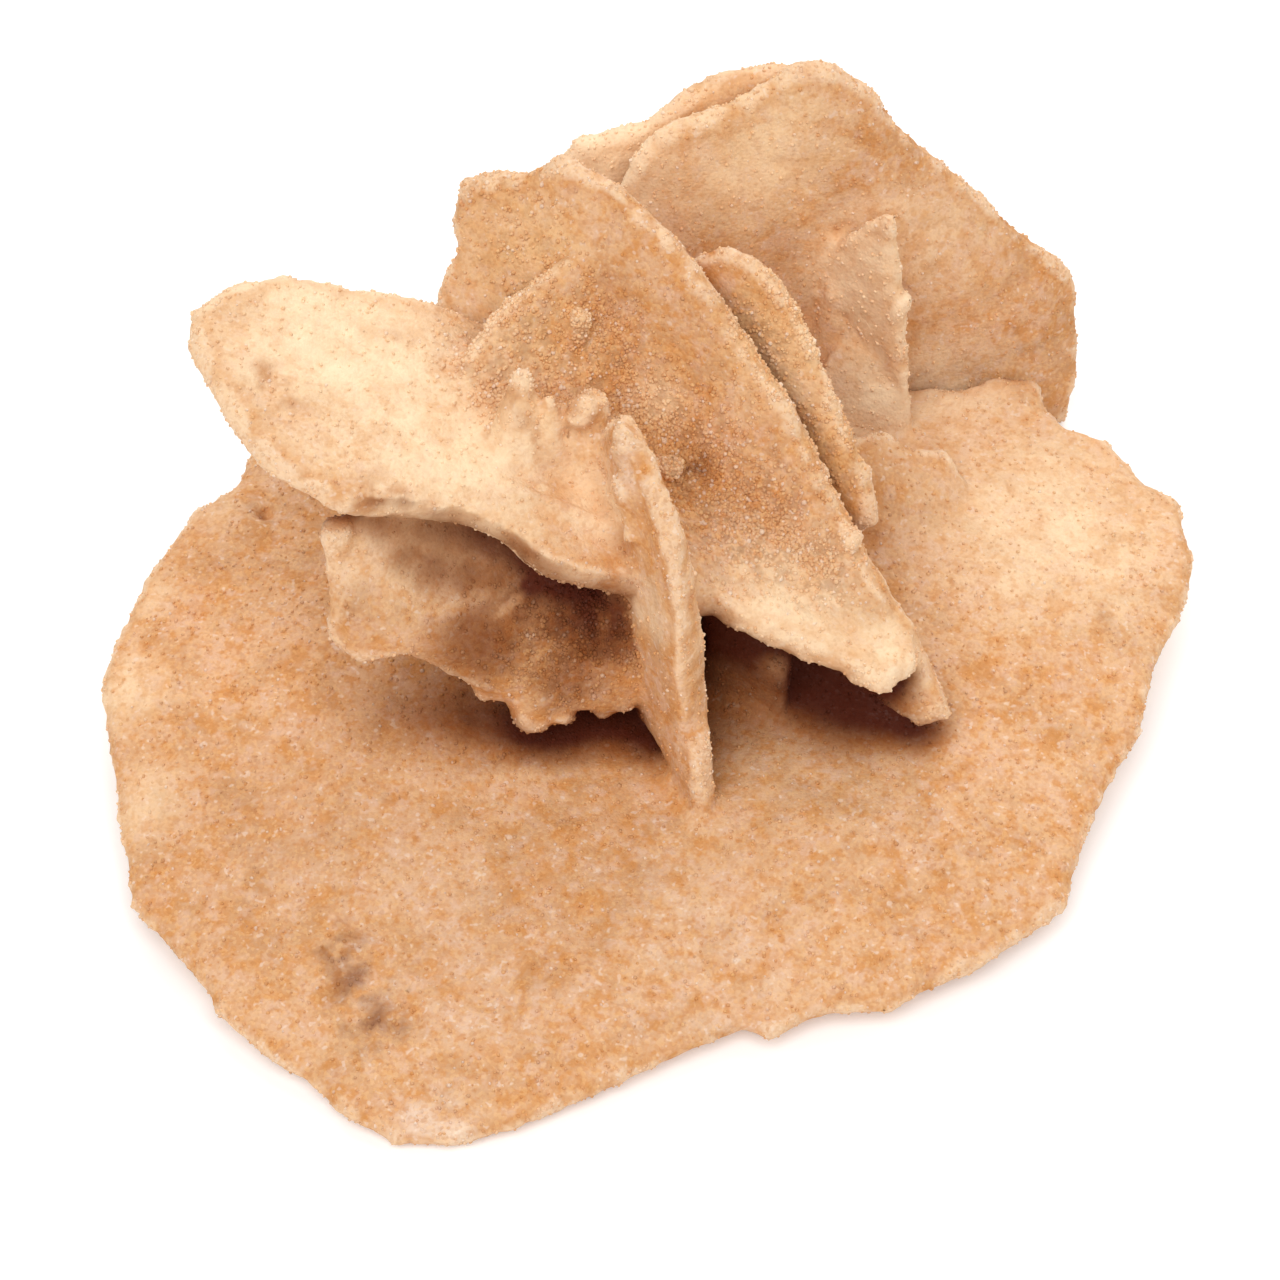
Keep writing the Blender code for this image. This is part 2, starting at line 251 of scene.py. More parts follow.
class Finish(Shading):
    """A material under construction, with a Principled shader at its end.

    Attributes:
        specular: Strength of the mirror-like part of the shader.
        raggedness: Strength of the finer spots in a cloud.
    """

    specular: float = 0.15
    raggedness: float = 0.55

    def __init__(self, name: str) -> None:
        """Starts a material.

        Args:
            name: Name of the material.
        """
        self.material = bpy.data.materials.new(name)
        self.material.use_nodes = True
        super().__init__(self.material.node_tree)
        self.shader = self.tree.nodes["Principled BSDF"]
        self.dress("Specular IOR Level", self.specular)
        self.place = self.node(
            "ShaderNodeVectorMath",
            {"operation": "SCALE"},
            {0: self.node("ShaderNodeTexCoord").outputs["Object"], "Scale": 1.0 / MM},
        ).outputs[0]

    def dress(self, name: str, value: object) -> None:
        """Feeds one of the shader's inputs."""
        self.feed(self.shader.inputs[name], value)

    def pattern(self, kind: Pattern, length: float, output: str, **values: float) -> Value:
        """Adds a texture in space.

        Args:
            kind: The texture.
            length: Size of its spots in millimetres.
            output: Name of the output that is wanted.
            values: Other inputs by name.

        Returns:
            The texture's value.
        """
        inputs = {"Vector": self.place, "Scale": 1.0 / length, **values}
        return Value(self.tree, self.node(kind.value, {}, inputs).outputs[output])

    def cloud(self, length: float, detail: float = 2.0) -> Value:
        """Returns a soft cloud of values about 0.5 with spots of a length."""
        return self.pattern(Pattern.CLOUD, length, "Fac", Detail=detail, Roughness=self.raggedness)

    def measure(self, name: str) -> Value:
        """Returns a number that the mesh holds at each point."""
        node = self.node("ShaderNodeAttribute", {"attribute_name": name})
        return Value(self.tree, node.outputs["Fac"])

    def blend(
        self, share: Value | float, first: object, second: object, manner: str = "MIX"
    ) -> bpy.types.NodeSocket:
        """Mixes two colours.

        Args:
            share: How much of the second, from 0 to 1.
            first: The first colour.
            second: The second colour.
            manner: Blender's blend type.

        Returns:
            The mixed colour's output.
        """
        settings = {"data_type": "RGBA", "blend_type": manner}
        return self.node("ShaderNodeMix", settings, {0: share, 6: first, 7: second}).outputs[2]

    def raise_surface(self, height: Value, depth: float) -> None:
        """Feeds the Normal from a height.

        Args:
            height: The height, from 0 to 1.
            depth: What 1 stands for, in millimetres.
        """
        values = {"Height": height, "Distance": depth * MM, "Strength": 1.0}
        self.dress("Normal", self.node("ShaderNodeBump", {}, values).outputs[0])


@dataclass(frozen=True)
class Spots:
    """Spots of one colour, where a value passes an edge.

    Attributes:
        colour: Their colour.
        start: The value at which they start.
        whole: The value at which they are whole.
        share: Share of their colour where they are whole.
    """

    colour: Colour
    start: float
    whole: float
    share: float = 1.0

    def over(
        self, finish: Finish, ground: object, value: Value, freedom: Value | float = 1.0
    ) -> bpy.types.NodeSocket:
        """Lays the spots over a colour.

        Args:
            finish: The material that gets the nodes.
            ground: The colour under the spots.
            value: The value that makes the spots.
            freedom: How much of the spots is let through, from 0 to 1.

        Returns:
            The colour's output.
        """
        cover = value.ramp(self.start, self.whole) * freedom * self.share
        return finish.blend(cover, ground, self.colour)


@dataclass(frozen=True)
class SandColours:
    """Colours of the sand and of the gypsum that binds it.

    Attributes:
        calming: How far the clouds of colour fade on pale places.
        painted_shade_range: Cover overhead at which the painted shade starts, and at which it is
            whole.
        painted_deep_shade_range: Cover overhead at which the painted deep shade of the recesses
            starts, and at which it is whole.
    """

    sand: Colour = (0.62, 0.325, 0.155)
    light: Colour = (0.72, 0.43, 0.24)
    orange: Colour = (0.63, 0.265, 0.075)
    rose: Colour = (0.72, 0.45, 0.30)
    golden: Colour = (0.84, 0.50, 0.22)
    brown: Colour = (0.34, 0.15, 0.06)
    pale: Colour = (0.98, 0.76, 0.505)
    cream: Colour = (0.88, 0.64, 0.43)
    chalk: Colour = (0.88, 0.74, 0.62)
    umber: Colour = (0.47, 0.37, 0.33)
    rust: Colour = (0.48, 0.19, 0.065)
    # The next two colours are painted shade: one under overhangs, one in the deep recesses.
    painted_shade_colour: Colour = (0.47, 0.33, 0.24)
    inside: Colour = (0.27, 0.12, 0.11)
    calming: float = 0.75
    painted_shade_range: Pair = (0.05, 0.45)
    painted_deep_shade_range: Pair = (0.32, 0.68)

    def clouds(self) -> tuple[tuple[float, float, Spots], ...]:
        """Returns the clouds of colour, each with its length and detail, lowest first."""
        return (
            (1.5, 4.0, Spots(self.orange, 0.47, 0.64, 0.75)),
            (2.6, 3.0, Spots(self.rose, 0.50, 0.68, 0.5)),
            (0.9, 2.0, Spots(self.rose, 0.50, 0.66, 0.75)),
            (0.6, 2.0, Spots(self.orange, 0.50, 0.68, 0.7)),
            (2.6, 4.0, Spots(self.brown, 0.52, 0.36, 0.2)),
        )

    def places(self) -> tuple[tuple[str, float, Colour], ...]:
        """Returns the measures that colour the skin, each with its share and colour, lowest first."""
        return (
            ("band", 0.5, self.orange),
            # Orange in the valleys: partly the sand's colour, partly painted shade in the creases.
            ("hollow", 0.4, self.orange),
            ("rim", 0.65, self.cream),
            # Golden and pale places: partly the sand's own colour, partly painted glow and light on
            # thin blades.
            ("warm", 0.5, self.golden),
            ("pale", 0.6, self.pale),
            ("rust", 0.75, self.rust),
            ("chalk", 0.6, self.chalk),
        )

    def ground(self, finish: Finish) -> bpy.types.NodeSocket:
        """Mixes the colour that single grains vary about.

        Args:
            finish: The material that gets the nodes.

        Returns:
            The colour's output.
        """
        broad = Spots(self.light, start=0.36, whole=0.64)
        colour = broad.over(finish, self.sand, finish.cloud(8.0, 3.0))
        # Pale and golden places: partly the sand's own colour, partly painted light and glow on thin
        # blades.
        pale = finish.measure("pale")
        colour = finish.blend(pale, colour, self.pale)
        colour = finish.blend(finish.measure("warm"), colour, self.golden)
        calm = 1.0 - self.calming * pale
        for length, detail, spots in self.clouds():
            colour = spots.over(finish, colour, finish.cloud(length, detail), calm)
        for name, share, tone in self.places():
            colour = finish.blend(finish.measure(name) * share, colour, tone)
        return colour

    def shade(self, finish: Finish, colour: bpy.types.NodeSocket) -> bpy.types.NodeSocket:
        """Darkens the stained places, and paints shade where blades cover the skin overhead.

        Args:
            finish: The material that gets the nodes.
            colour: The colour in the open.

        Returns:
            The colour's output.
        """
        colour = finish.blend(finish.measure("stain"), colour, self.umber, "MULTIPLY")
        # Painted shade: the colour darkens and reddens where the blades overhead cover the skin.
        painted_shade = finish.measure("painted_shade")
        colour = finish.blend(painted_shade.ramp(*self.painted_shade_range), colour, self.painted_shade_colour, "MULTIPLY")
        return finish.blend(painted_shade.ramp(*self.painted_deep_shade_range), colour, self.inside, "MULTIPLY")


@dataclass(frozen=True)
class SandySkin:
    """Finish of the blades: fine sand cemented by gypsum.

    Attributes:
        colours: What the sand is coloured with.
        grain: Size of the fine grains.
        coarse_grain: Size of the coarse ones.
        clump: Size of a clump, in coarse grains.
        speck: Size of a dark speck, in coarse grains.
        roughness: Roughness of the skin between the glints.
        relief: Height of the grains' relief.
        glint: How much smoother single grains are.
        glint_range: A grain's own number at which its glint starts, and at which it is whole.
        calming: How far the grains' own shades fade on pale places.
        variety: Share of the grains' own shades, and what grit adds to it.
        darkness: Share of dark specks, and what grit adds to it.
        speck_start: Cloud value at which a speck starts, and what grit adds to it.
        speck_whole: Cloud value at which a speck is whole, and what grit adds to it.
    """

    colours: SandColours = field(default_factory=SandColours)
    grain: float = 0.17
    coarse_grain: float = 0.4
    clump: float = 1.9
    speck: float = 0.7
    roughness: float = 0.8
    relief: float = 0.06
    glint: float = 0.3
    glint_range: Pair = (0.20, 0.14)
    calming: float = 0.92
    variety: Pair = (0.32, 0.28)
    darkness: Pair = (0.09, 0.45)
    speck_start: Pair = (0.33, 0.09)
    speck_whole: Pair = (0.26, 0.07)

    def make(self, name: str) -> bpy.types.Material:
        """Makes the material.

        Args:
            name: Name of the material.

        Returns:
            The material.
        """
        finish = Finish(name)
        cell = finish.pattern(Pattern.CELLS, self.grain, "Color").socket
        finish.dress("Base Color", self.colours.shade(finish, self.colour(finish, cell)))
        shine = finish.part(cell, 0).ramp(*self.glint_range) * self.glint
        finish.dress("Roughness", self.roughness - shine)
        finish.raise_surface(self.height(finish), self.relief)
        return finish.material

    def colour(self, finish: Finish, cell: bpy.types.NodeSocket) -> bpy.types.NodeSocket:
        """Mixes the colour of the skin in the open.

        Args:
            finish: The material that gets the nodes.
            cell: A colour that differs from grain to grain.

        Returns:
            The colour's output.
        """
        tones = self.colours
        shade = finish.part(cell, 1)
        dots = finish.cloud(self.coarse_grain, 1.0)
        clumps = finish.cloud(self.clump * self.coarse_grain)
        grit = finish.measure("grit")
        calm = 1.0 - self.calming * finish.measure("pale")
        varied = calm * (self.variety[0] + self.variety[1] * grit)
        colour = tones.ground(finish)
        colour = Spots(tones.orange, start=0.5, whole=1.0).over(finish, colour, shade, varied)
        colour = Spots(tones.golden, start=0.5, whole=0.0).over(finish, colour, shade, varied)
        colour = Spots(tones.chalk, 0.64, 0.74, share=0.35).over(finish, colour, dots, calm)
        colour = Spots(tones.rust, 0.42, 0.30, share=0.3).over(finish, colour, dots, calm)
        colour = Spots(tones.brown, 0.55, 0.38, share=0.65).over(finish, colour, clumps, grit)
        start, whole, share = (
            plain + more * grit for plain, more in (self.speck_start, self.speck_whole, self.darkness)
        )
        dark = finish.cloud(self.speck * self.coarse_grain, 1.0).ramp(start, whole)
        return finish.blend(dark * calm * share, colour, tones.brown)

    def height(self, finish: Finish) -> Value:
        """Mixes the relief of the grains.

        Args:
            finish: The material that gets the nodes.

        Returns:
            The height, about 0 to 1.
        """
        dome = 1.0 - finish.pattern(Pattern.CELLS, self.grain, "Distance")
        pebble = 1.0 - finish.pattern(Pattern.CELLS, self.coarse_grain, "Distance")
        dust = finish.cloud(0.1)
        wave = finish.cloud(0.7, 3.0)
        return dome * 0.5 + pebble * 0.3 + dust * 0.3 + wave * 0.5


@dataclass(frozen=True)
class LooseGrainFinish:
    """Finish of single sand grains, each with a shade of its own.

    Attributes:
        colours: What the sand is coloured with.
        roughness: Roughness of the smoothest grains.
        dulling: How much rougher the others are.
        calming: How far the grains' own shades fade on pale places.
    """

    colours: SandColours = field(default_factory=SandColours)
    roughness: float = 0.5
    dulling: float = 0.3
    calming: float = 0.85

    def make(self, name: str) -> bpy.types.Material:
        """Makes the material.

        Args:
            name: Name of the material.

        Returns:
            The material.
        """
        finish = Finish(name)
        tones = self.colours
        shade = finish.measure("shade")
        tone = finish.measure("tone")
        calm = 1.0 - self.calming * finish.measure("pale")
        colour = tones.ground(finish)
        colour = Spots(tones.brown, 0.76, 0.84, share=0.15).over(finish, colour, shade, calm)
        colour = Spots(tones.golden, 0.34, 0.26, share=0.45).over(finish, colour, shade, calm)
        colour = Spots(tones.orange, 0.6, 0.9, share=0.5).over(finish, colour, tone, calm)
        colour = Spots(tones.chalk, 0.10, 0.06, share=0.45).over(finish, colour, tone)
        finish.dress("Base Color", tones.shade(finish, colour))
        finish.dress("Roughness", self.roughness + tone * self.dulling)
        return finish.material


# --------------------------------------------------------------------------------------
# Relief
# --------------------------------------------------------------------------------------

# Large odd numbers and shifts that spread neighbouring lattice cells far apart.
AXIS_FACTORS = (73856093, 19349663, 83492791)
SEED_FACTOR = 2654435761
MIXING_STEPS = ((16, 0x7FEB352D), (15, 0x846CA68B))
LAST_SHIFT = 16


def scramble(cells: np.ndarray, seed: int) -> np.ndarray:
    """Turns lattice cells into evenly spread whole numbers.

    Args:
        cells: Whole-number cells, one a row.
        seed: Choice among different spreads.

    Returns:
        One unsigned 32-bit number a row.
    """
    part = cells.astype(np.int64).astype(np.uint32)
    key = np.full(len(part), seed * SEED_FACTOR % 2**32, np.uint32)
    for axis, factor in enumerate(AXIS_FACTORS):
        key ^= part[:, axis] * np.uint32(factor)
    for shift, factor in MIXING_STEPS:
        key = (key ^ (key >> np.uint32(shift))) * np.uint32(factor)
    return key ^ (key >> np.uint32(LAST_SHIFT))


def cut(keys: np.ndarray, bits: int) -> np.ndarray:
    """Cuts each scrambled number into three smaller ones.

    Args:
        keys: The scrambled numbers.
        bits: Length of each part.

    Returns:
        Three whole numbers a row, from 0 to 2**bits - 1.
    """
    parts = [(keys >> np.uint32(bits * axis)) & np.uint32(2**bits - 1) for axis in range(3)]
    return np.stack(parts, 1)


def ease(values: np.ndarray, low: float, high: float) -> np.ndarray:
    """Rises smoothly from 0 at low to 1 at high; with low over high it falls instead."""
    share = np.clip((values - low) / (high - low), 0.0, 1.0)
    return share * share * (3.0 - 2.0 * share)


@dataclass(frozen=True)
class Waves:
    """Smooth random relief in space, about -1 to 1.

    Attributes:
        length: Length of the longest waves.
        seed: Choice among different reliefs.
        octaves: Number of wave lengths, each half of the last.
        roughness: Strength of each next one.
        cell_shift: Way from one octave's cells to the next one's, in cells.
        gain: What brings the relief to about -1 to 1.
        bits: Bits of a scrambled number that make one slope.
    """

    length: float
    seed: int
    octaves: int = 1
    roughness: float = 0.5
    cell_shift: ClassVar[float] = 17.3
    gain: ClassVar[float] = 1.7
    bits: ClassVar[int] = 8

    def at(self, points: np.ndarray) -> np.ndarray:
        """Works out the relief.

        Args:
            points: The points, one a row.

        Returns:
            The relief at each point.
        """
        total = np.zeros(len(points))
        strength, length = 1.0, self.length
        half = (2**self.bits - 1) / 2
        for octave in range(self.octaves):
            spots = points / length + self.cell_shift * (octave + 1)
            base = np.floor(spots).astype(np.int64)
            part = spots - base
            fade = part**3 * (part * (part * 6.0 - 15.0) + 10.0)
            for corner in product((0, 1), repeat=3):
                slopes = cut(scramble(base + corner, self.seed + octave), self.bits) / half - 1.0
                lean = ((part - corner) * slopes).sum(1)
                weight = np.where(corner, fade, 1.0 - fade).prod(1)
                total += strength * self.gain * lean * weight
            strength *= self.roughness
            length *= 0.5
        return total


@dataclass(frozen=True)
class Knobs:
    """Rounded knobs packed side by side, as 0 between them and 1 on their tops.

    Attributes:
        length: Way from knob to knob.
        seed: Choice among different packings.
        foot: Square of the way from a knob's top to its foot, in cells.
        far: Square of a way that is longer than any to the nearest knob, in cells.
        bits: Bits of a scrambled number that make one coordinate.
    """

    length: float
    seed: int
    foot: ClassVar[float] = 0.6
    far: ClassVar[float] = 9.0
    bits: ClassVar[int] = 10

    def at(self, points: np.ndarray) -> np.ndarray:
        """Works out the height of the knobs.

        Args:
            points: The points, one a row.

        Returns:
            The height at each point.
        """
        spots = points / self.length
        base = np.floor(spots).astype(np.int64)
        nearest = np.full(len(points), self.far)
        for step in product((-1, 0, 1), repeat=3):
            cell = base + step
            gap = cell + cut(scramble(cell, self.seed), self.bits) / (2**self.bits - 1) - spots
            nearest = np.minimum(nearest, (gap * gap).sum(1))
        return 1.0 - np.clip(nearest / self.foot, 0.0, 1.0)


@dataclass(frozen=True)
class Ripple:
    """Waves or knobs that lift the skin along its normals.

    Attributes:
        height: Their height.
        form: The waves or knobs.
        level: The form's value that leaves the skin where it is.
    """

    height: float
    form: Waves | Knobs
    level: float = 0.0

    def lift(self, points: np.ndarray, share: np.ndarray | float = 1.0) -> np.ndarray:
        """Returns the lift at points, one a row, where each takes a share of it."""
        return share * self.height * (self.form.at(points) - self.level)


@dataclass(frozen=True)
class Mark:
    """A place on the skin that differs from the rest.

    Attributes:
        place: Its middle.
        reach: How far it spreads.
        strength: Height in millimetres for a dent or knob, or share of colour for a stain.
    """

    place: Spot
    reach: float
    strength: float = 1.0

    def share(self, points: np.ndarray) -> np.ndarray:
        """Returns how strongly the mark is felt at points, from 0 to its strength."""
        gap = np.linalg.norm(points - np.array(self.place), axis=1) / self.reach
        return self.strength * np.clip(1.0 - gap * gap, 0.0, 1.0) ** 2


def marks(*rows: tuple[float, ...]) -> tuple[Mark, ...]:
    """Makes marks from rows of X, Y, Z, reach and strength."""
    return tuple(Mark(row[:3], *row[3:]) for row in rows)


@dataclass(frozen=True)
class Spur:
    """A tapered crystal that grows out of the cluster.

    Attributes:
        foot: Middle of its foot.
        tip: Middle of its tip.
        foot_radius: Radius at the foot.
        tip_radius: Radius at the tip.
        sides: Number of its sides.
    """

    foot: Spot
    tip: Spot
    foot_radius: float
    tip_radius: float
    sides: ClassVar[int] = 7

    def grow(self, shape: bmesh.types.BMesh) -> None:
        """Adds the crystal to a mesh in metres.

        Args:
            shape: The mesh.
        """
        rise = Vector(self.tip) - Vector(self.foot)
        turn = rise.to_track_quat("Z", "Y").to_matrix().to_4x4()
        middle = (Vector(self.tip) + Vector(self.foot)) * 0.5 * MM
        bmesh.ops.create_cone(
            shape,
            cap_ends=True,
            segments=self.sides,
            radius1=self.foot_radius * MM,
            radius2=self.tip_radius * MM,
            depth=rise.length * MM,
            matrix=Matrix.Translation(middle) @ turn,
        )


@dataclass(frozen=True)
class Undercut:
    """The stretch of a front face that draws back under the lip above it.

    Attributes:
        lip: X and Z of the lip's lower edge, and how far the face draws back there.
        onset: How far under the edge it starts, and where it is whole.
        fading: How far under the edge it ends, and down to where it is whole.
        facing: How squarely a point has to face the front for it to start, and to be whole.
        front: Only points with a smaller Y are moved.
    """

    lip: tuple[Spot, ...]
    onset: Pair = (0.2, 1.1)
    fading: Pair = (6.5, 1.0)
    facing: Pair = (0.5, 0.75)
    front: float = -2.5

    def depth(self, points: np.ndarray, normals: np.ndarray) -> np.ndarray:
        """Works out how far each point moves back.

        Args:
            points: The points, one a row.
            normals: Their outward normals.

        Returns:
            The way along +Y for each point.
        """
        across, level, back = np.array(self.lip).T
        drop = np.interp(points[:, 0], across, level) - points[:, 2]
        share = ease(drop, *self.onset) * ease(drop, *self.fading)
        share *= ease(-normals[:, 1], *self.facing) * (points[:, 1] < self.front)
        return share * np.interp(points[:, 0], across, back)


@dataclass(frozen=True)
class Setback:
    """The front end of a blade, which ends a little further back.

    Attributes:
        course: X along the edge, and how far the edge moves back there.
        reach: Y where the way starts, and Y from which it is whole.
        floor: Z below which nothing moves, and Z from which it moves the whole way.
    """

    course: tuple[Pair, ...]
    reach: Pair
    floor: Pair

    def depth(self, points: np.ndarray) -> np.ndarray:
        """Works out how far each point moves back.

        Args:
            points: The points, one a row.

        Returns:
            The way along +Y for each point.
        """
        across, back = np.array(self.course).T
        share = ease(points[:, 1], *self.reach) * ease(points[:, 2], *self.floor)
        return share * np.interp(points[:, 0], across, back)


@dataclass
class Surface:
    """A closed surface.

    Attributes:
        points: Its points in millimetres, one a row.
        faces: The corners of each face.
        edges: The two ends of each edge.
        smoothing: Share of the way to the neighbours' mean in a smoothing step.
        sharpening: The same in the step back that follows it.
    """

    points: np.ndarray
    faces: np.ndarray
    edges: np.ndarray
    smoothing: ClassVar[float] = 0.5
    sharpening: ClassVar[float] = -0.53

    @classmethod
    def of(cls, mesh: bpy.types.Mesh) -> "Surface":
        """Reads a mesh whose faces all have the same number of corners.

        Args:
            mesh: The mesh, in metres.

        Returns:
            The surface.
        """
        points = np.empty(len(mesh.vertices) * 3, np.float32)
        mesh.vertices.foreach_get("co", points)
        edges = np.empty(len(mesh.edges) * 2, np.int32)
        mesh.edges.foreach_get("vertices", edges)
        corners = np.empty(len(mesh.loops), np.int32)
        mesh.loops.foreach_get("vertex_index", corners)
        return cls(
            points.reshape(-1, 3).astype(np.float64) / MM,
            corners.reshape(len(mesh.polygons), -1),
            edges.reshape(-1, 2),
        )

    def normals(self) -> np.ndarray:
        """Works out which way the surface faces.

        Returns:
            The outward normal at each point.
        """
        corner = self.points[self.faces]
        sides = self.faces.shape[1]
        # Both diagonals of a four-sided face, or two sides of a triangle.
        first = corner[:, sides - 2] - corner[:, 0]
        second = corner[:, sides - 1] - corner[:, sides - 3]
        facing = np.cross(first, second)
        total = np.zeros_like(self.points)
        for axis, turn in product(range(3), range(sides)):
            total[:, axis] += np.bincount(self.faces[:, turn], facing[:, axis], len(self.points))
        return total / np.maximum(np.linalg.norm(total, axis=1, keepdims=True), TINY)

    def averaged(self, values: np.ndarray, rounds: int, pull: float = 0.5) -> np.ndarray:
        """Moves each value towards the mean of its neighbours.

        Args:
            values: One row a point.
            rounds: Number of times.
            pull: Share of the way each time; a negative one sharpens.

        Returns:
            The new values.
        """
        first, second = self.edges.T
        count = len(self.points)
        degree = np.bincount(self.edges.ravel(), minlength=count).astype(np.float64)
        columns = values.reshape(count, -1).T.copy()
        for _ in range(rounds):
            for column in columns:
                mean = np.bincount(first, column[second], count)
                mean += np.bincount(second, column[first], count)
                column += pull * (mean / degree - column)
        return columns.T.reshape(values.shape)

    def relax(self, rounds: int) -> None:
        """Takes out small steps without thinning the blades.

        Args:
            rounds: Number of times.
        """
        for _ in range(rounds):
            self.points = self.averaged(self.points, 1, self.smoothing)
            self.points = self.averaged(self.points, 1, self.sharpening)

    def standing(self, rounds: int) -> np.ndarray:
        """Returns how far each point stands out of its smoothed surroundings."""
        return ((self.points - self.averaged(self.points, rounds)) * self.normals()).sum(1)


@dataclass(frozen=True)
class Roofing:
    """How far the blades overhead roof the skin over, which sets the painted shade.

    Attributes:
        reach: Distance from which a blade overhead shelters nothing.
        scatter: How far the looks upward scatter about the upright.
        lean: How far they lean the way that the skin faces.
        rise: The least rise of a look over the skin.
        clearance: How far over the skin a look starts.
        rounds: How often the result is smoothed.
        seed: Choice among different scatters.
    """

    reach: float = 16.0
    scatter: float = 0.45
    lean: float = 0.15
    rise: float = 0.05
    clearance: float = 0.25
    rounds: int = 60
    seed: int = 4

    def over(self, skin: Surface) -> np.ndarray:
        """Looks upward once from each point of the skin.

        Args:
            skin: The finished surface.

        Returns:
            0 under the open sky to 1 close under a blade, at each point.
        """
        rng = np.random.default_rng(self.seed)
        tree = BVHTree.FromPolygons(skin.points.tolist(), skin.faces.tolist())
        normals = skin.normals()
        aims = rng.normal(size=normals.shape)
        aims *= self.scatter / np.linalg.norm(aims, axis=1, keepdims=True)
        aims += self.lean * normals + (0.0, 0.0, 1.0)
        aims /= np.linalg.norm(aims, axis=1, keepdims=True)
        inward = np.minimum((aims * normals).sum(1) - self.rise, 0.0)
        aims -= 2.0 * inward[:, None] * normals
        starts = skin.points + normals * self.clearance
        felt = np.zeros(len(aims))
        for index, (start, aim) in enumerate(zip(starts.tolist(), aims.tolist())):
            distance = tree.ray_cast(start, aim, self.reach)[3]
            if distance is not None:
                felt[index] = 1.0 - distance / self.reach
        return skin.averaged(felt, self.rounds)


# --------------------------------------------------------------------------------------
# The rose
# --------------------------------------------------------------------------------------


